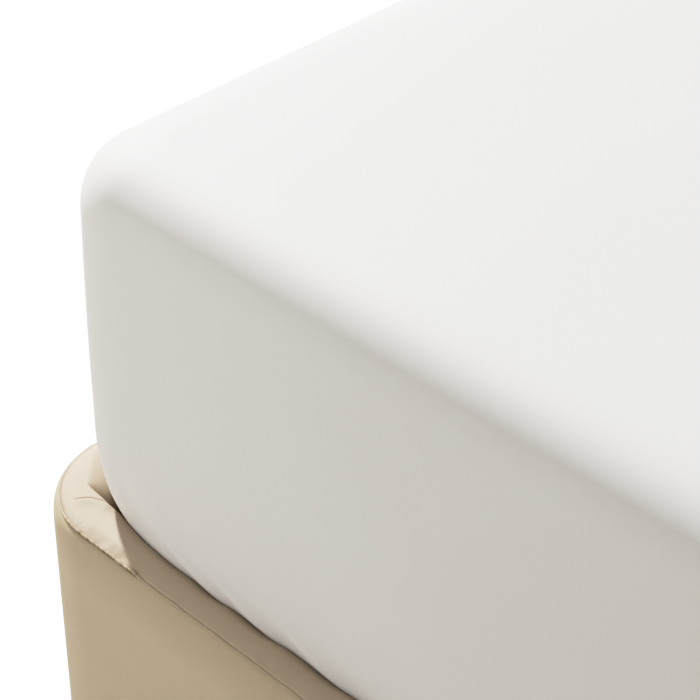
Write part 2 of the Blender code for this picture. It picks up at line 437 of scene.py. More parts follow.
def makeBaseMaterial(name, finish):
    material, tree, shader = startMaterial(name, **baseLook)
    nap = placeGroup(tree, napGroup, "Object", Patch=7.0, Fibre=1400.0)
    ends = finish["shade"], finish["light"]
    colour = colourBetween(tree, nap.outputs["Patches"], *ends, shader)
    paintShade(tree, colour, finish["paintedShade"], shader)
    bumpFrom(tree, nap.outputs["Fibres"], shader, distance=0.00025, strength=0.35)
    return material


threadFinish = {
    "shade": (0.44, 0.35, 0.24),
    "light": (0.58, 0.49, 0.37),
    # painted shade in the waists between the beads: the thread's colour is multiplied by this
    "paintedShade": (0.66, 0.60, 0.53),
}


def makeThreadMaterial():
    material, tree, shader = startMaterial("seamThread", roughness=0.6, sheen=0.03, gloss=0.3)
    twist = placeGroup(tree, weaveGroup, "UV", Pitch=900.0, Slub=0.0)
    ends = threadFinish["shade"], threadFinish["light"]
    colour = colourBetween(tree, twist.outputs["Height"], *ends, shader)
    paintShade(tree, colour, threadFinish["paintedShade"], shader)
    bumpFrom(tree, twist.outputs["Height"], shader, distance=0.0002, strength=0.5)
    return material


def makeTickingMaterial():
    material, tree, shader = startMaterial("mattressTicking", roughness=0.8, sheen=0.1)
    weave = placeGroup(tree, weaveGroup, "UV", Pitch=700.0, Slub=0.3)
    shade, light = (0.66, 0.65, 0.61), (0.72, 0.71, 0.68)
    colourBetween(tree, weave.outputs["Height"], shade, light, shader)
    bumpFrom(tree, weave.outputs["Height"], shader, distance=0.0003, strength=0.4)
    return material


def makeBoardMaterial():
    material, tree, shader = startMaterial("planedBoard", roughness=0.6)
    source = tree.nodes.new("ShaderNodeTexCoord")
    mapping = tree.nodes.new("ShaderNodeMapping")
    setInputs(mapping, {"Scale": (14, 0.8, 14)})
    tree.links.new(source.outputs["Object"], mapping.inputs["Vector"])
    grain = tree.nodes.new("ShaderNodeTexNoise")
    setInputs(grain, {"Scale": 3, "Detail": 8, "Distortion": 0.6})
    tree.links.new(mapping.outputs["Vector"], grain.inputs["Vector"])
    shade, light = (0.36, 0.24, 0.13), (0.58, 0.43, 0.27)
    colourBetween(tree, grain.outputs["Fac"], shade, light, shader)
    bumpFrom(tree, grain.outputs["Fac"], shader, distance=0.0004, strength=0.3)
    return material


# Outlines round the bed.


def inPlan(side, along, out):
    _, run, face, _, _ = bedSides[side]
    return np.stack([run[0] * along + face[0] * out, run[1] * along + face[1] * out], -1)


sheetSteps = {
    "arcSteps": 7,
    "growth": 1.15,
    "most": 0.034,
    # The step and how far it runs, from each end. Facing sides need like counts.
    "foot": ((0.0050, 0.250), (0.012, 0.110)),
    "right": ((0.012, 0.110), (0.010, 0.110)),
    "head": ((0.012, 0.110), (0.0050, 0.250)),
    "left": ((0.010, 0.110), (0.012, 0.110)),
}


def sideStations(side):
    # Signed places on the side's straight run at rest, from -1 to 1 at its ends, and arc angles.
    name, _, _, half, _ = bedSides[side]
    run = half - sheetCut["cornerRadius"]
    growth, most = sheetSteps["growth"], sheetSteps["most"]
    before, after = (
        growingSteps(run, step, growth, fineRun, step, most) for step, fineRun in sheetSteps[name]
    )
    straight = np.concatenate([before - run, (run - after)[::-1][1:]])
    return straight / run, np.linspace(0, math.pi / 4, sheetSteps["arcSteps"] + 1)


# The fitted sheet.

sheetCut = {
    "thickness": 0.0007,
    # The rounded edge, as arcs from the top down: angles from level in degrees, radius, rows.
    "edgeArcs": [
        (4, 14, 0.105, 2),
        (14, 22, 0.072, 2),
        (22, 30, 0.042, 2),
        (30, 45, 0.032, 4),
        (45, 66, 0.034, 6),
        (66, 90, 0.060, 9),
    ],
    "edgeOutset": -0.0007,
    "cornerRadius": 0.055,
    "cornerLoss": 0.6,  # how much of the turn's inset the plan radius loses
    "cornerLeast": 0.010,
    "crown": 0.0042,
    "shoulder": 0.120,  # how far in from the rim of the top the crown takes to rise
    "shiftFrom": 0.5,  # share of a side's run from where its stations follow the corner
    "foldEnd": 0.7,  # share of the corner's radius past its start where a fold has gone
}
# The side below the turn: distance down the cloth, rise, outset, plan radius of the corners.
sheetSide = [
    (0.0000, 0.2563, -0.0007, 0.0550),
    (0.0483, 0.208, -0.0002, 0.0550),
    (0.1563, 0.100, 0.0000, 0.0555),
    (0.2143, 0.042, 0.0002, 0.0605),
    (0.2283, 0.028, 0.0003, 0.0665),
    (0.2423, 0.014, 0.0003, 0.0752),
    (0.2493, 0.007, 0.0001, 0.0818),
    (0.2563, 0.000, -0.0002, 0.0890),
    (0.2635, -0.007, -0.0017, 0.0940),
    (0.2873, -0.030, -0.0076, 0.0985),
    (0.3054, -0.047, -0.0150, 0.0960),
    (0.3225, -0.0546, -0.0300, 0.0840),
    (0.3485, -0.055, -0.0560, 0.0700),
    (0.4425, -0.055, -0.1500, 0.0500),
]
# Where the side's rows go, as distances down the cloth: first, last, count.
sheetDrops = [
    (0.0080, 0.1720, 13),
    (0.1830, 0.2195, 5),
    (0.2255, 0.2793, 19),
    (0.2853, 0.3333, 8),
    (0.3485, 0.4425, 6),
]
# Drag folds where the hem pulls the cloth down behind the base. along is from the corner at the
# start of the side, at seam height; lean is how far a fold moves to that corner per metre up. A
# depth below zero is a hollow.
sheetFolds = [
    # side, along, width, depth, lean, reach up, steep share
    (0, 0.070, 0.078, -0.0051, 0.3, 0.090, 0.60),
    (0, 0.119, 0.044, 0.0004, 2.2, 0.022, 0.27),
    (0, 0.161, 0.046, 0.0036, 2.4, 0.028, 0.44),
    (0, 0.212, 0.060, 0.0036, 2.4, 0.032, 0.31),
    (0, 0.274, 0.056, 0.0029, 2.4, 0.030, 0.42),
    (0, 0.345, 0.070, 0.0014, 2.0, 0.040, 0.50),
    (0, 1.300, 0.060, 0.0020, -2.0, 0.030, 0.60),
    (0, 1.385, 0.050, 0.0022, -2.2, 0.032, 0.65),
    (1, 0.126, 0.055, 0.0022, 2.2, 0.030, 0.35),
    (1, 0.205, 0.060, 0.0015, 2.0, 0.034, 0.40),
    (1, 1.880, 0.055, 0.0020, -2.2, 0.030, 0.60),
    (2, 0.130, 0.060, 0.0020, 2.2, 0.030, 0.35),
    (2, 1.350, 0.065, 0.0018, -2.0, 0.034, 0.60),
    (3, 0.140, 0.055, 0.0018, 2.0, 0.032, 0.40),
    (3, 1.830, 0.060, 0.0022, -2.2, 0.034, 0.65),
    (3, 1.900, 0.050, 0.0020, -2.2, 0.028, 0.60),
]


foldForm = {
    "fadeFrom": 0.15,  # share of a fold's reach up where it starts to fade
    "foot": (-0.012, 0.010),  # the rises over which folds grow from behind the base
}


def foldBulge(side, along, rise):
    half = bedSides[side][3]
    bulge = np.zeros_like(along)
    for foldSide, place, width, depth, lean, reach, steep in sheetFolds:
        if foldSide != side:
            continue
        offset = (along + half - place + lean * rise) / width
        slow = softStep(offset, -(1 - steep), 0) * (offset < 0)
        fast = (1 - softStep(offset, 0, steep)) * (offset >= 0)
        upper = 1 - softStep(rise, foldForm["fadeFrom"] * reach, reach)
        lower = softStep(rise, *foldForm["foot"])
        bulge += depth * (slow + fast) * upper * lower
    return bulge


def edgeRows():  # the rounded edge from the side up to the rim of the top: rise, outset, distance
    rows = [(sheetSide[0][1], sheetCut["edgeOutset"], 0.0)]
    for start, stop, radius, steps in sheetCut["edgeArcs"][::-1]:
        rise, outset, distance = rows[-1]
        first = math.radians(stop)
        for angle in np.radians(np.linspace(stop, start, steps + 1)[1:]):
            up = rise + radius * (math.cos(angle) - math.cos(first))
            out = outset - radius * (math.sin(first) - math.sin(angle))
            rows.append((up, out, distance + radius * (first - angle)))
    return rows


def sheetRows():  # from the rim of the top to the hem: rise, outset, corner radius, distance
    edge = edgeRows()
    turned = edge[-1][2]
    rows = []
    for rise, outset, distance in edge[::-1]:
        inset = sheetCut["edgeOutset"] - outset
        corner = sheetCut["cornerRadius"] - sheetCut["cornerLoss"] * inset
        rows.append((rise, outset, corner, turned - distance))
    drops = np.concatenate([np.linspace(*part) for part in sheetDrops])
    for drop, (rise, outset, corner) in zip(drops, softCurve(sheetSide, drops)):
        rows.append((rise, outset, corner, turned + drop))
    return np.array(rows)


def clothOutline(side, straight, angles, row, folded):
    # One side's points of one row, from the middle of its first corner to the middle of its last,
    # and their distances along the cloth laid flat.
    rise, outset, corner, _ = row
    _, _, _, half, out = bedSides[side]
    limit = half + outset - corner
    rest = half - sheetCut["cornerRadius"]
    places = straight * rest
    follow = softStep(np.abs(places), sheetCut["shiftFrom"] * rest, rest)
    places = places + (limit - rest) * follow * np.sign(places)
    before, after = angles[::-1][:-1], angles[1:]
    starts, ends = -limit - corner * np.sin(before), limit + corner * np.sin(after)
    run = np.concatenate([starts, places, ends])
    starts, ends = -limit - corner * before, limit + corner * after
    distance = np.concatenate([starts, places, ends])
    bow = corner * (1 - np.cos(after))
    away = np.concatenate([bow[::-1], np.zeros(len(straight)), bow])
    bulge = foldBulge(side, np.clip(run, -half, half), np.full_like(run, rise))
    bulge *= 1 - softStep(np.abs(run), limit, limit + corner * sheetCut["foldEnd"])
    if not folded:
        bulge = np.minimum(bulge, 0)
    turn = np.concatenate([-before, np.zeros(len(straight)), after])
    plan = inPlan(side, run + bulge * np.sin(turn), out + outset - away + bulge * np.cos(turn))
    height = np.full(len(run), bed["seamHeight"] + rise)
    return np.concatenate([plan, height[:, None]], 1), distance


def patchFrom(foot, right, head, left):
    # Fills the plan between four joined edges: foot and head run with x, left and right with y.
    alongShare = (right[:, 1] - right[0, 1]) / (right[-1, 1] - right[0, 1])
    acrossShare = (foot[:, 0] - foot[0, 0]) / (foot[-1, 0] - foot[0, 0])
    u, v = acrossShare[None, :, None], alongShare[:, None, None]
    blended = (1 - v) * foot[None] + v * head[None] + (1 - u) * left[:, None] + u * right[:, None]
    corners = (1 - u) * (1 - v) * foot[0] + u * (1 - v) * foot[-1]
    corners = corners + (1 - u) * v * head[0] + u * v * head[-1]
    return blended - corners


def crownAt(x, y, edge):  # share of the crown's lift, from 0 at the rim of the top
    lift = np.ones_like(x)
    for place, half in ((x, bed["halfWidth"]), (y, bed["halfLength"])):
        inside = np.clip((half + edge - np.abs(place)) / sheetCut["shoulder"], 0, 1)
        lift = lift * (1 - (1 - inside) ** 2)
    return lift


def insetRows(rows, inset):  # the rows moved in from the face of the cloth, square to its section
    rows = rows.copy()
    slopes = np.gradient(rows[:, :2], axis=0)
    slopes /= np.linalg.norm(slopes, axis=1)[:, None]
    rows[:, 0] -= inset * np.clip(slopes[:, 1], -1, 1)
    rows[:, 1] -= inset * np.clip(-slopes[:, 0], -1, 1)
    corner = rows[:, 2] - inset * np.clip(-slopes[:, 0], 0, 1)
    rows[:, 2] = np.maximum(corner, sheetCut["cornerLeast"])
    return rows


def clothRings(rows, stations, folded):  # the points of each row round the bed, and laid flat
    points, flats = [], []
    for row in rows:
        ring, ringFlat = [], []
        for side, (straight, angles) in enumerate(stations):
            outline, distance = clothOutline(side, straight, angles, row, folded)
            out = bedSides[side][4]
            flat = inPlan(side, distance, np.full(len(distance), out + rows[0][1] + row[3]))
            ring.append(outline[:-1])
            ringFlat.append(flat[:-1])
        points.append(np.concatenate(ring))
        flats.append(np.concatenate(ringFlat))
    return points, flats


def rimEdges(stations):  # which points of a row are on each side, in the order that patchFrom takes
    counts = [len(straight) + 2 * (len(angles) - 1) for straight, angles in stations]
    starts = np.cumsum([0] + [count - 1 for count in counts])
    edges = [np.arange(start, stop + 1) % starts[-1] for start, stop in zip(starts, starts[1:])]
    foot, right, head, left = edges
    return foot, right, head[::-1], left[::-1]


def clothShell(inset, folded, lowest=math.inf):
    # Points, faces and flat-cut places of the cloth, as rows down the sides and a patch on top,
    # and the points of its last row. Rows farther down the cloth than lowest are left out.
    rows = sheetRows()
    rows = insetRows(rows[rows[:, 3] <= lowest], inset)
    stations = [sideStations(side) for side in range(4)]
    points, flats = clothRings(rows, stations, folded)
    rim = points[0]
    foot, right, head, left = rimEdges(stations)
    patch = patchFrom(*(rim[edge, :2] for edge in (foot, right, head, left)))
    height = bed["seamHeight"] + rows[0][0]
    lift = crownAt(patch[..., 0], patch[..., 1], rows[0][1]) * sheetCut["crown"]
    top = np.concatenate([patch, (height + lift)[..., None]], -1)
    index = np.full(top.shape[:2], -1)
    index[0], index[-1], index[:, 0], index[:, -1] = foot, head, left, right
    inner = index < 0
    ringCount = len(rim) * len(rows)
    index[inner] = ringCount + np.arange(inner.sum())
    faces = gridFaces(len(rows), len(rim), closedColumns=True)
    onTop = index.ravel().tolist()
    for near, below, far, beside in gridFaces(*index.shape):
        faces.append((onTop[near], onTop[beside], onTop[far], onTop[below]))
    allPoints = np.concatenate([*points, top[inner]])
    allFlats = np.concatenate([*flats, top[inner][:, :2]])
    return allPoints, faces, allFlats, range(ringCount - len(rim), ringCount)


def makeSheet(material):
    points, faces, flats, _ = clothShell(0.0, True)
    sheet = newPiece("fittedSheet", points, faces, material, flats)
    wall = sheet.modifiers.new("clothThickness", "SOLIDIFY")
    wall.thickness = sheetCut["thickness"]
    wall.offset = -1
    bpy.context.view_layer.objects.active = sheet
    sheet.select_set(True)
    bpy.ops.object.modifier_apply(modifier=wall.name)
    sheet.select_set(False)
    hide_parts("fitted_sheet")
    return sheet


mattressForm = {
    "inset": 0.0024,  # from the outer face of the sheet
    "lowest": 0.42,  # where its underside closes, as a distance down the cloth
}


def makeMattress(material):
    points, faces, flats, underside = clothShell(
        mattressForm["inset"], False, mattressForm["lowest"]
    )
    faces.append(tuple(underside)[::-1])
    mattress = newPiece("mattress.body", points, faces, material, flats)
    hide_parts("mattress")
    return mattress


# The upholstered base.

railSpacing = {
    "arcSteps": 66,
    "first": 0.0016,
    "growth": 1.22,
    "fineRun": 0.260,
    "fineMost": 0.003,
    "most": 0.030,
}

# The padded top, from the seam over to the inner wall and back underneath: outset, rise.
bandSection = [
    (0.0246, -0.0010),
    (0.0247, 0.0000),
    (0.0238, 0.0009),
    (0.0222, 0.0016),
    (0.0206, 0.0022),
    (0.0190, 0.0027),
    (0.0174, 0.0031),
    (0.0158, 0.0034),
    (0.0144, 0.0035),
    (0.0131, 0.0035),
    (0.0119, 0.0034),
    (0.0108, 0.0033),
    (0.0098, 0.0031),
    (0.0089, 0.0029),
    (0.0081, 0.0026),
    (0.0073, 0.0023),
    (0.0066, 0.0020),
    (0.0059, 0.0017),
    (0.0052, 0.0013),
    (0.0046, 0.0010),
    (0.0040, 0.0006),
    (0.0034, 0.0001),
    (0.0029, -0.0004),
    (0.0024, -0.0010),
    (0.0020, -0.0017),
    (0.0016, -0.0026),
    (0.0013, -0.0038),
    (0.0010, -0.0057),
    (0.0007, -0.0083),
    (0.0004, -0.0110),
    (0.0001, -0.0148),
    (-0.0001, -0.0182),
    (-0.0001, -0.0212),
    (0.0040, -0.0190),
    (0.0120, -0.0120),
    (0.0200, -0.0050),
]
# The outside panel, from the seam over its lip, down the face, under, and up the inner wall.
panelSection = [
    (0.0254, -0.0014),
    (0.0259, -0.0006),
    (0.0267, -0.0010),
    (0.0277, -0.0025),
    (0.0285, -0.0041),
    (0.0292, -0.0060),
    (0.0298, -0.0084),
    (0.0303, -0.0116),
    (0.0306, -0.0165),
    (0.0308, -0.0240),
    (0.0308, -0.0500),
    (0.0308, -0.1000),
    (0.0308, -0.1600),
    (0.0308, -0.2200),
    (0.0308, -0.2800),
    (0.0308, -0.3080),
    (0.0304, -0.3140),
    (0.0294, -0.3178),
    (0.0276, -0.3196),
    (0.0240, -0.3200),
    (-0.0002, -0.3200),
    (-0.0002, -0.1200),
    (-0.0002, -0.0225),
]


bandFiner = (3, 25)  # the rows of bandSection, first and last, that get another between each two


def finerRows(section, first, last):
    keys = np.column_stack([np.arange(len(section)), section])
    places = np.union1d(np.arange(len(section)), np.arange(first, last) + 0.5)
    return softCurve(keys, places)


def cornerStart(side):  # how far from the middle of a side the arcs of the seam's corners start
    return bedSides[side][3] + bed["seamOutset"] - bed["seamRadius"]


def railStations(side, closing):
    # Straight place and turn angle of each station along a side of the base, mitre to mitre.
    corner = cornerStart(side)
    turns = np.linspace(0, closing, railSpacing["arcSteps"] + 1)
    keys = ("first", "growth", "fineRun", "fineMost", "most")
    steps = growingSteps(corner, *(railSpacing[key] for key in keys))
    straight = np.concatenate([steps - corner, (corner - steps)[::-1][1:]])
    ends = np.full(len(turns) - 1, corner)
    along = np.concatenate([-ends, straight, ends])
    angle = np.concatenate([-turns[::-1][:-1], np.zeros(len(straight)), turns[1:]])
    return along, angle


def railGrid(section, along, angle):  # along, angle, outset and rise of every point of a rail
    parts = along[:, None], angle[:, None], section[None, :, 0], section[None, :, 1]
    return [np.broadcast_to(part, (len(along), len(section))).copy() for part in parts]


def railPoints(side, along, angle, outset, rise):
    radius = bed["seamRadius"] + outset - bed["seamOutset"]
    cornerOut = bedSides[side][4] + bed["seamOutset"] - bed["seamRadius"]
    plan = inPlan(side, along + radius * np.sin(angle), cornerOut + radius * np.cos(angle))
    return np.concatenate([plan, (bed["seamHeight"] + rise)[..., None]], -1)


# The folds of the padded top at each corner, in plan from the middle of the seam's corner: first
# towards the foot (or head), then towards the side. The far cloth dips like a fan that opens at
# the notch, behind a straight ridge to the tip; a crease runs over the near cloth to the tip.
cornerFolds = {
    "notch": (0.0324, 0.0347),
    "tip": (0.0345, -0.0043),
    "nearby": (0.2, 1.5),  # turns past the corner's arc between which its folds fade out
    "folded": 0.3,  # how near the corner they end
    "ridge": 0.0008,  # half the width of the ridge
    "fanOpening": 135.0,
    "fanCurve": 1.2,
    "fanPaintedShade": 0.6,  # how much painted shade darkens the opened fan
    "fanShade": (-0.002, 0.018),  # where the fan's painted shade comes in, out from the notch
    "deepest": 0.0200,
    "pocket": 0.0110,  # how far the fan stops short of the sheet at the tip
    "pocketRun": (0.006, 0.036),  # from the notch to the tip
    "pocketDepth": 0.014,
    "clothCentre": 0.0456,  # of the sheet's corner, in from the middle of the seam's corner
    "clothRadius": 0.0892,
    "clothGap": 0.0010,
}
creaseForm = {
    "starts": (0.05, 0.25),  # shares of its line between which the crease comes up and fades
    "stops": (0.80, 0.98),
    "lowest": -0.004,
    "lipTop": 0.0014,
    "lipWidth": 0.0070,
    "lipFoot": (-0.0003, 0.0014),
    "grooveWidth": 0.0008,
    "paintedShade": 0.8,  # how much painted shade darkens the groove
    # shares of its line where the groove's painted shade comes in, and its width
    "paintedShadeStarts": (0.35, 0.60),
    "paintedShadeWidth": 0.0009,
}
# The line of the crease, from the end by the seam to the tip.
cornerCrease = [
    (0.0540, 0.0300),
    (0.0501, 0.0289),
    (0.0461, 0.0255),
    (0.0421, 0.0224),
    (0.0395, 0.0184),
    (0.0373, 0.0143),
    (0.0356, 0.0096),
    (0.0349, 0.0040),
    (0.0346, -0.0043),
]
cornerPleats = [
    # side the corner starts, mirrored, turn of its folds, slope of the fan, lip, groove
    (0, False, 0.0, 0.92, 0.0014, 0.0016),
    (1, True, 6.0, 0.50, 0.0010, 0.0011),
    (2, False, -5.0, 0.55, 0.0011, 0.0012),
    (3, True, 3.0, 0.58, 0.0010, 0.0012),
]


def cornerAngle(side, along, angle, pleatSide):
    # Angle round the corner at the start of pleatSide, from that side's facing; beyond the arc it
    # goes on as distance over the seam radius. It is far below zero on the sides that don't meet.
    if side == pleatSide:
        return -angle - (along + cornerStart(side)) / bed["seamRadius"]
    if (side + 1) % 4 == pleatSide:
        return math.pi / 2 - angle - (along - cornerStart(side)) / bed["seamRadius"]
    return np.full_like(angle, -99.0)


def clothDepth(around):  # how far in from the seam the sheet stands, at the height of the seam
    centre, radius = cornerFolds["clothCentre"], cornerFolds["clothRadius"]
    turned = np.clip(around, 0, math.pi / 2)
    lean = centre * (np.cos(turned) + np.sin(turned))
    arc = np.sqrt(lean**2 - 2 * centre**2 + radius**2) - lean
    past = np.maximum(-around, around - math.pi / 2) * bed["seamRadius"]
    straight = np.sqrt(radius**2 - np.clip(centre - past, 0, centre) ** 2) - centre
    return bed["seamRadius"] - np.where(past > 0, straight, arc)


def creaseAt(first, second):  # signed distance to the crease line, and its share from the seam end
    near, side, share = np.full(first.shape, 1.0), np.zeros(first.shape), np.zeros(first.shape)
    count = len(cornerCrease) - 1
    for step, (start, stop) in enumerate(zip(cornerCrease, cornerCrease[1:])):
        runFirst, runSecond = stop[0] - start[0], stop[1] - start[1]
        length = math.hypot(runFirst, runSecond)
        offFirst, offSecond = first - start[0], second - start[1]
        place = np.clip((offFirst * runFirst + offSecond * runSecond) / length**2, 0, 1)
        away = np.hypot(offFirst - place * runFirst, offSecond - place * runSecond)
        better = away < near
        side = np.where(better, runFirst * offSecond - runSecond * offFirst, side)
        share = np.where(better, (step + place) / count, share)
        near = np.where(better, away, near)
    return near * np.sign(-side), share


seamPucker = {
    "band": 0.00055,
    "bandWaves": (0.0117, 0.0430, 0.0790),  # lengths of the puckers, their drift, their swell
    "drift": 1.9,
    "swell": 0.5,
    "bandRun": (0.0135, 0.0212),  # outsets between which the puckers grow
    "bandEnd": (0.0222, 0.0240),
    "cornerLoss": 0.85,  # share of their depth that the corners lose, and the turn that it takes
    "cornerTurn": 0.25,
    "panel": 0.00020,
    "panelWave": 0.0137,
    "panelFace": 0.0285,  # the outset from where the panel puckers
    "panelFade": (0.004, 0.020),  # down from the seam
}
# Deeper dents where the seam pulls the padding down: side, place from the end of the corner's
# arc, run down into the dent, run back out of it, depth.
seamDents = [
    (0, 0.018, 0.016, 0.005, 0.0015),
    (0, 0.042, 0.020, 0.006, 0.0016),
    (0, 1.360, 0.018, 0.008, 0.0010),
    (1, 0.030, 0.018, 0.008, 0.0010),
    (2, 0.036, 0.016, 0.008, 0.0010),
    (3, 1.850, 0.020, 0.008, 0.0011),
]


bandForm = {
    "cordTurn": 0.1,  # turn in which the painted shade beside the cord starts, on the foot and the head
    "cordShade": (0.0230, 0.0244),
    "dentRun": (0.0140, 0.0225),
    "innerRun": (-0.0150, -0.0020),  # of the outset with its sign turned
    "innerSet": 0.0023,  # how far the inner part goes in below the sheet
    "reachRun": (0.004, 0.0246),  # in from the seam, where the corners reach farther in
    "height": 0.0212,
    "measured": 5,  # the row along which the cloth is measured
}


def dentDepth(side, along, outset):
    fromArc = along + cornerStart(side)
    depth = 0
    for dentSide, place, before, after, size in seamDents:
        if dentSide == side:
            dip = softStep(fromArc - place, -before, 0) * (1 - softStep(fromArc - place, 0, after))
            depth = depth + size * dip * softStep(outset, *bandForm["dentRun"])
    return depth


def puckerDepth(side, along, angle, outset):
    small, drift, swell = seamPucker["bandWaves"]
    travel = along + angle * bed["seamRadius"]
    wave = ripple(travel, small, seamPucker["drift"] * ripple(travel, drift))
    wave = np.maximum(wave + seamPucker["swell"] * ripple(travel, swell, side), 0)
    dent = softStep(outset, *seamPucker["bandRun"]) * (1 - softStep(outset, *seamPucker["bandEnd"]))
    eased = 1 - seamPucker["cornerLoss"] * softStep(np.abs(angle), 0, seamPucker["cornerTurn"])
    return seamPucker["band"] * wave * dent * eased


def cornerPlace(around, depth, mirrored, turn):  # plan place in the corner, as in cornerFolds
    facing = math.pi / 2 - around if mirrored else around
    facing = facing - math.radians(turn)
    left = bed["seamRadius"] - depth
    turned = np.clip(facing, 0, math.pi / 2)
    past = bed["seamRadius"] * (facing - turned)
    first = left * np.cos(turned) + np.where(past > 0, -past, 0)
    second = left * np.sin(turned) + np.where(past < 0, past, 0)
    return first, second


def fanAt(first, second):  # how far down the fan goes, the way to the tip, and from the notch
    notch, tip = np.array(cornerFolds["notch"]), np.array(cornerFolds["tip"])
    run = (tip - notch) / np.linalg.norm(tip - notch)
    offFirst, offSecond = first - notch[0], second - notch[1]
    ahead = offFirst * run[0] + offSecond * run[1]
    beyond = offFirst * run[1] - offSecond * run[0]
    opening = np.degrees(np.arctan2(np.maximum(beyond, 0), ahead)) / cornerFolds["fanOpening"]
    fan = np.clip(1 - opening, 0, 1) ** cornerFolds["fanCurve"]
    fan = fan * softStep(beyond, -cornerFolds["ridge"], cornerFolds["ridge"])
    return fan, ahead, np.hypot(ahead, beyond)


def foldCorner(pleat, around, outset, rise, paintedShade):
    _, mirrored, turn, slope, lipSize, grooveSize = pleat
    fadeFrom, fadeTo = cornerFolds["nearby"]
    near = softStep(around, -fadeTo, -fadeFrom)
    near = near * (1 - softStep(around, math.pi / 2 + fadeFrom, math.pi / 2 + fadeTo))
    here = near > cornerFolds["folded"]
    sheetDepth = clothDepth(around)
    reach = sheetDepth - cornerFolds["clothGap"] - bandForm["reachRun"][1]
    depth = bed["seamOutset"] - outset
    depth = depth + np.maximum(reach, 0) * near * softStep(depth, *bandForm["reachRun"])
    outset = bed["seamOutset"] - depth
    first, second = cornerPlace(around, depth, mirrored, turn)

    fan, ahead, fromNotch = fanAt(first, second)
    valley = np.minimum(slope * fromNotch * fan * here, cornerFolds["deepest"])
    rise = rise - valley * np.where(rise > 0, 1, 1 + rise / bandForm["height"])
    pocket = cornerFolds["pocket"] * fan * here * softStep(ahead, *cornerFolds["pocketRun"])
    outset = outset + pocket * softStep(depth, sheetDepth - cornerFolds["pocketDepth"], sheetDepth)
    # Painted shade in the opened fan.
    opened = np.sqrt(fan) * softStep(fromNotch, *cornerFolds["fanShade"])
    paintedShade = np.maximum(paintedShade, cornerFolds["fanPaintedShade"] * here * opened)

    away, share = creaseAt(first, second)
    shown = here * softStep(share, *creaseForm["starts"])
    shown = shown * (1 - softStep(share, *creaseForm["stops"])) * (rise > creaseForm["lowest"])
    lip = lipSize * hump(np.minimum(away + creaseForm["lipTop"], 0), creaseForm["lipWidth"])
    lip = lip * softStep(-away, *creaseForm["lipFoot"])
    groove = grooveSize * hump(away, creaseForm["grooveWidth"])
    rise = rise + shown * (lip - groove)
    # Painted shade along the groove of the crease, towards the tip.
    creased = shown * softStep(share, *creaseForm["paintedShadeStarts"])
    creased = creased * hump(away, creaseForm["paintedShadeWidth"])
    return outset, rise, np.maximum(paintedShade, creaseForm["paintedShade"] * creased)


def shapeBand(side, along, angle, outset, rise):
    bulge = foldBulge(side, along, rise) * (angle == 0)
    corded = softStep(np.abs(angle), 0, bandForm["cordTurn"]) if side % 2 == 0 else 1.0
    corded = corded * (1 - cordProud(side, along, angle))
    # Painted shade beside the sheet, and beside the cord where it is sunk.
    paintedShade = 1 - softStep(outset, *topColourAndPaintedLight["paintedShadeRun"])
    paintedShade = np.maximum(paintedShade, corded * softStep(outset, *bandForm["cordShade"]))
    rise = rise - dentDepth(side, along, outset) - puckerDepth(side, along, angle, outset)
    inner = softStep(-outset, *bandForm["innerRun"])
    outset = outset + inner * (bulge - bandForm["innerSet"])
    for pleat in cornerPleats:
        around = cornerAngle(side, along, angle, pleat[0])
        outset, rise, paintedShade = foldCorner(pleat, around, outset, rise, paintedShade)
    return outset, rise, paintedShade


def makeBand(material):
    section = finerRows(np.array(bandSection), *bandFiner)
    rings, paintedShades = [], []
    for side in range(4):
        stations = (part[:-1] for part in railStations(side, math.pi / 4))
        along, angle, outset, rise = railGrid(section, *stations)
        outset, rise, paintedShade = shapeBand(side, along, angle, outset, rise)
        rings.append(railPoints(side, along, angle, outset, rise))
        paintedShades.append(paintedShade)
    points = np.concatenate(rings)
    lengths, around = runAlong(points[:, bandForm["measured"]]), runAlong(section)
    uv = np.stack(np.meshgrid(lengths, around, indexing="ij"), -1)
    faces = gridFaces(len(points), len(section), closedRows=True, closedColumns=True)
    band = newPiece("baseTopBand", points.reshape(-1, 3), faces, material, uv.reshape(-1, 2))
    markPaintedShade(band, np.concatenate(paintedShades))
    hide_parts(*("base_band_" + name for name, *_ in bedSides))
    return band


seamThread = {
    "radius": 0.00118,
    "sides": 8,
    "stitch": 0.0050,
    "step": 0.00125,
    "swell": 0.42,
    "rise": 0.0005,
    "wander": 0.0002,
    "wanderWaves": (0.0370, 0.0223),
    "drift": [(0.9, 0.0310), (0.7, 0.0173)],  # of the stitches: size, length
    "waist": 0.6,
    "paintedShadeRun": (0.10, 0.80),  # painted shade in the waists fades out over these, from a waist out to a bead
    "sunk": 0.0017,  # between the two cloths, but for the ends of the foot and the head
    "sinks": (0.054, 0.072),
    "sinksInArc": (0.012, 0.036),
    "lipDrop": 0.0009,  # how far the panel's lip lies below the cord where it stands proud
}


def cordProud(side, along, angle):  # 1 where the cord stands proud of the two cloths
    fromArc = cornerStart(side) - np.abs(along)
    turned = np.abs(angle) if side % 2 == 0 else math.pi / 2 - np.abs(angle)
    inArc = softStep(turned * bed["seamRadius"], *seamThread["sinksInArc"])
    return (1 - softStep(fromArc, *seamThread["sinks"])) * (1 - inArc)


panelForm = {
    "turn": 44.99,  # degrees round each corner, which leaves the mitres open by a hair
    "lipRun": (-0.0070, -0.0006),
    "measured": 8,  # the row along which the cloth is measured
}


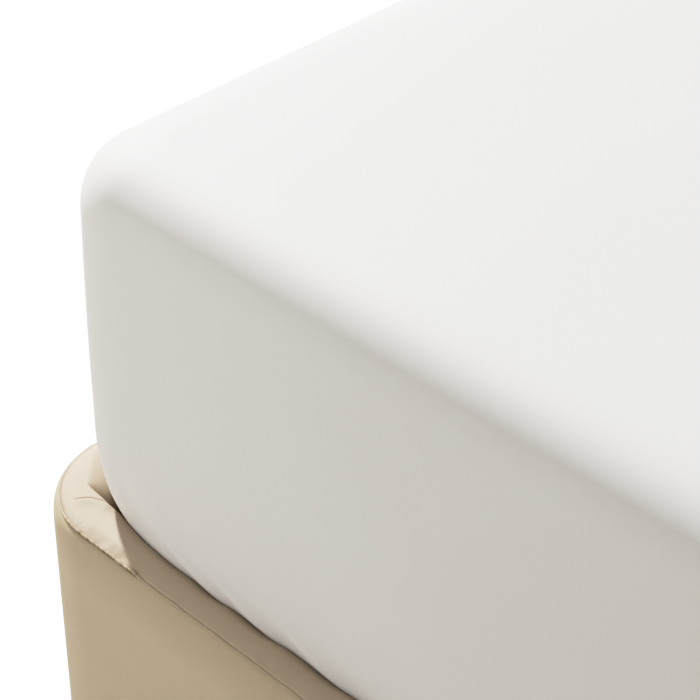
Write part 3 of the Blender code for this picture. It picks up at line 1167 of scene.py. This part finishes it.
def makePanel(side, material):
    section = np.array(panelSection)
    stations = railStations(side, math.radians(panelForm["turn"]))
    along, angle, outset, rise = railGrid(section, *stations)
    pucker = seamPucker["panel"] * ripple(along, seamPucker["panelWave"])
    pucker *= outset > seamPucker["panelFace"]
    pucker *= 1 - softStep(-rise, *seamPucker["panelFade"])
    drop = seamThread["lipDrop"] * cordProud(side, along, angle)
    rise = rise - drop * softStep(rise, *panelForm["lipRun"])
    points = railPoints(side, along, angle, outset + pucker, rise)
    lengths, around = runAlong(points[:, panelForm["measured"]]), runAlong(section)
    uv = np.stack(np.meshgrid(lengths, around, indexing="ij"), -1)
    count = len(section)
    faces = [face[::-1] for face in gridFaces(len(points), count, closedColumns=True)]
    faces.append(tuple(range(count))[::-1])
    last = (len(points) - 1) * count
    faces.append(tuple(last + index for index in range(count)))
    name = bedSides[side][0]
    panel = newPiece("basePanel." + name, points.reshape(-1, 3), faces, material, uv.reshape(-1, 2))
    # Painted shade under the seam, fading down the face.
    markPaintedShade(panel, 1 - softStep(-rise, *panelFinish["paintedShadeRun"]))
    panel.data.set_sharp_from_angle(angle=math.radians(50))
    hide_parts("base_panel_" + name)
    return panel


def seamSide(side):  # the cord's middle along a side and round its corner, the way out, cordProud
    longWave, shortWave = seamThread["wanderWaves"]
    corner = cornerStart(side)
    straight = np.arange(-corner, corner, seamThread["step"])
    turns = np.arange(0, math.pi / 2, seamThread["step"] / bed["seamRadius"])
    along = np.concatenate([straight, np.full(len(turns), corner)])
    angle = np.concatenate([np.zeros(len(straight)), turns])
    travel = along + angle * bed["seamRadius"]
    wander = ripple(travel, longWave) + ripple(travel, shortWave, side)
    proud = cordProud(side, along, angle)
    height = seamThread["rise"] + seamThread["wander"] * wander
    height -= seamThread["sunk"] * (1 - proud)
    middle = railPoints(side, along, angle, bed["seamOutset"], height)
    outer = railPoints(side, along, angle, bed["seamOutset"] + 1, height)
    return np.concatenate([middle, (outer - middle)[:, :2], proud[:, None]], 1)


def makeSeam(material):
    places = np.concatenate([seamSide(side) for side in range(4)])
    middle, outward, proud = places[:, :3], places[:, 3:5], places[:, 5]
    run = runAlong(middle)
    drift = sum(size * ripple(run, length) for size, length in seamThread["drift"])
    bead = np.abs(np.sin(math.pi * run / seamThread["stitch"] + drift))
    swell = seamThread["swell"] * (bead - seamThread["waist"]) * proud
    radius = seamThread["radius"] * (1 + swell)
    rings, uvs = [], []
    for turn in np.arange(seamThread["sides"]) * 2 * math.pi / seamThread["sides"]:
        ring = middle.copy()
        ring[:, :2] += outward * (radius * math.cos(turn))[:, None]
        ring[:, 2] += radius * math.sin(turn)
        rings.append(ring)
        uvs.append(np.stack([run, np.full(len(run), turn * seamThread["radius"])], -1))
    points, uv = np.stack(rings, 1), np.stack(uvs, 1)
    faces = gridFaces(len(points), len(rings), closedRows=True, closedColumns=True)
    seam = newPiece("baseSeamCord", points.reshape(-1, 3), faces, material, uv.reshape(-1, 2))
    # Painted shade in the waists between the beads, where the cord stands proud.
    paintedShade = (1 - softStep(bead, *seamThread["paintedShadeRun"])) * proud
    markPaintedShade(seam, np.repeat(paintedShade, seamThread["sides"]))
    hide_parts("seam_cord")
    return seam


# The boards under the mattress.


boardForm = {
    "deckCorner": 0.0414,  # plan radius of the deck board's corners
    "cornerSteps": 8,
    "easedEdge": 0.0015,
    "upright": 0.001,  # an edge that rises more than this is upright
}


def selectUpright(board):
    bpy.ops.mesh.select_all(action="DESELECT")
    bpy.ops.object.mode_set(mode="OBJECT")
    for edge in board.data.edges:
        first, second = (board.data.vertices[index].co for index in edge.vertices)
        edge.select = abs(first.z - second.z) > boardForm["upright"]
    bpy.ops.object.mode_set(mode="EDIT")


def makeBoard(name, node, material, cornerRadius=0.0):
    low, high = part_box(node)
    bpy.ops.mesh.primitive_cube_add(size=1, location=(low + high) / 2, scale=high - low)
    board = bpy.context.object
    board.name = name
    bpy.ops.object.transform_apply(location=True, scale=True)
    bpy.ops.object.mode_set(mode="EDIT")
    bpy.ops.mesh.select_mode(type="EDGE")
    if cornerRadius:
        selectUpright(board)
        bpy.ops.mesh.bevel(offset=cornerRadius, segments=boardForm["cornerSteps"])
    bpy.ops.mesh.select_all(action="DESELECT")
    bpy.ops.mesh.edges_select_sharp(sharpness=math.radians(60))
    bpy.ops.mesh.bevel(offset=boardForm["easedEdge"], segments=2)
    bpy.ops.object.mode_set(mode="OBJECT")
    board.data.materials.append(material)
    board.data.shade_smooth()
    board.data.set_sharp_from_angle(angle=math.radians(40))
    board.select_set(False)
    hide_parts(node)
    return board


# Everything in place.

sheetMaterial = makeSheetMaterial()
panelMaterial = makeBaseMaterial("brushedBaseCloth", panelFinish)
topMaterial = makeBaseMaterial("brushedTopClothPaintedLight", topColourAndPaintedLight)
boardMaterial = makeBoardMaterial()

sheet = makeSheet(sheetMaterial)
print("fitted sheet made:", len(sheet.data.polygons), "faces")
mattress = makeMattress(makeTickingMaterial())
print("mattress made")
band = makeBand(topMaterial)
panels = [makePanel(side, panelMaterial) for side in range(4)]
seam = makeSeam(makeThreadMaterial())
print("base made")
boards = [
    makeBoard("deckBoard", "deck_board", boardMaterial, boardForm["deckCorner"]),
    makeBoard("ledger.left", "ledger_left", boardMaterial),
    makeBoard("ledger.right", "ledger_right", boardMaterial),
    makeBoard("centreBeam", "centre_beam", boardMaterial),
]
print("boards made")

for piece in [sheet, mattress, band, *panels, seam, *boards]:
    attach(piece, "root")
